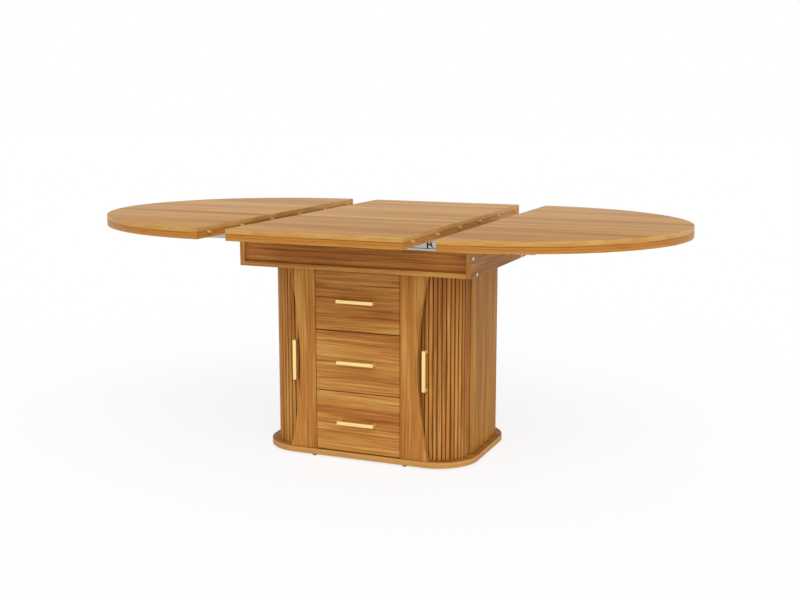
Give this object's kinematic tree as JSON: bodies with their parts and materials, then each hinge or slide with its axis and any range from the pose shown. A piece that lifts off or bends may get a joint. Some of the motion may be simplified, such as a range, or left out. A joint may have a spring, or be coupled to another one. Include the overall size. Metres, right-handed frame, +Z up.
{
  "type": "extending dining table",
  "caption": "Extending dining table: oval top on aluminium slides parted round a removable centre leaf, over a storage pedestal with drawers and slatted tambour corner doors.",
  "frame": {"origin": "on the floor under the centre of the pedestal", "axes": "+X along the table, +Y from the drawers to the back, +Z up"},
  "size_m": [1.954, 1.1, 0.76],
  "materials": {
    "top_wood": "satin wood-grain veneer, grain along the table",
    "carcass_wood": "satin wood-grain veneer, grain upright",
    "apron_wood": "satin wood-grain veneer, grain level",
    "drawer_wood": "satin wood-grain veneer, grain level",
    "slat_wood": "satin wood-grain slats, grain upright",
    "inner_board": "pale melamine-faced board inside the pedestal",
    "dowel_beech": "plain turned beech",
    "handle_gold": "pale satin gold plating",
    "slide_aluminium": "extruded, satin",
    "runner_steel": "zinc-plated pressed steel",
    "bolt_steel": "nickel-plated",
    "black_plastic": "moulded",
    "canvas": "plain-woven cotton duck"
  },
  "bodies": {
    "frame": {"plinth_board": "carcass_wood", "plinth_feet": "black_plastic", "partition_left": "inner_board", "partition_right": "inner_board", "stile_left": "carcass_wood", "stile_right": "carcass_wood", "side_panel_left": "carcass_wood", "side_panel_right": "carcass_wood", "back_panel": "carcass_wood", "shelf_left": "inner_board", "shelf_right": "inner_board", "shelf_battens": "inner_board", "cabinet_runners_bottom": "runner_steel", "cabinet_runners_middle": "runner_steel", "cabinet_runners_top": "runner_steel", "apron_bottom": "apron_wood", "apron_side_left": "apron_wood", "apron_side_right": "apron_wood", "apron_front_rail": "apron_wood", "apron_back_rail": "apron_wood", "apron_bolts": "bolt_steel", "slide_channel_front": "slide_aluminium", "slide_channel_back": "slide_aluminium", "slide_stops": "black_plastic"},
    "left_leaf": {"left_leaf_panel": "top_wood", "left_leaf_dowels": "dowel_beech", "left_rail_front": "slide_aluminium", "left_rail_back": "slide_aluminium"},
    "right_leaf": {"right_leaf_panel": "top_wood", "right_rail_front": "slide_aluminium", "right_rail_back": "slide_aluminium"},
    "centre_leaf": {"centre_leaf_panel": "top_wood", "centre_leaf_dowels": "dowel_beech"},
    "drawer_bottom": {"drawer_bottom_front": "drawer_wood", "drawer_bottom_sides": "inner_board", "drawer_bottom_back": "inner_board", "drawer_bottom_bottom": "inner_board", "drawer_bottom_handle": "handle_gold", "drawer_bottom_runners": "runner_steel"},
    "drawer_middle": {"drawer_middle_front": "drawer_wood", "drawer_middle_sides": "inner_board", "drawer_middle_back": "inner_board", "drawer_middle_bottom": "inner_board", "drawer_middle_handle": "handle_gold", "drawer_middle_runners": "runner_steel"},
    "drawer_top": {"drawer_top_front": "drawer_wood", "drawer_top_sides": "inner_board", "drawer_top_back": "inner_board", "drawer_top_bottom": "inner_board", "drawer_top_handle": "handle_gold", "drawer_top_runners": "runner_steel"},
    "left_door": {"left_door_slats": "slat_wood", "left_door_canvas": "canvas", "left_door_handle": "handle_gold"},
    "right_door": {"right_door_slats": "slat_wood", "right_door_canvas": "canvas", "right_door_handle": "handle_gold"}
  },
  "joints": [
    {"name": "left_leaf_slide", "type": "slide", "parent": "frame", "child": "left_leaf", "axis": [-1, 0, 0], "range_m": [-0.0965, 0.03]},
    {"name": "right_leaf_slide", "type": "slide", "parent": "frame", "child": "right_leaf", "axis": [1, 0, 0], "range_m": [-0.0965, 0.03]},
    {"name": "centre_leaf_lift", "type": "slide", "parent": "frame", "child": "centre_leaf", "axis": [0, 0, 1], "range_m": [0, 0.3]},
    {"name": "drawer_bottom_slide", "type": "slide", "parent": "frame", "child": "drawer_bottom", "axis": [0, -1, 0], "range_m": [0, 0.3]},
    {"name": "drawer_middle_slide", "type": "slide", "parent": "frame", "child": "drawer_middle", "axis": [0, -1, 0], "range_m": [0, 0.3]},
    {"name": "drawer_top_slide", "type": "slide", "parent": "frame", "child": "drawer_top", "axis": [0, -1, 0], "range_m": [0, 0.3]},
    {"name": "left_door_turn", "type": "hinge", "parent": "frame", "child": "left_door", "pos_m": [-0.23, -0.12, 0.319], "axis": [0, 0, -1], "range_deg": [0, 75]},
    {"name": "right_door_turn", "type": "hinge", "parent": "frame", "child": "right_door", "pos_m": [0.23, -0.12, 0.319], "axis": [0, 0, 1], "range_deg": [0, 75]}
  ]
}
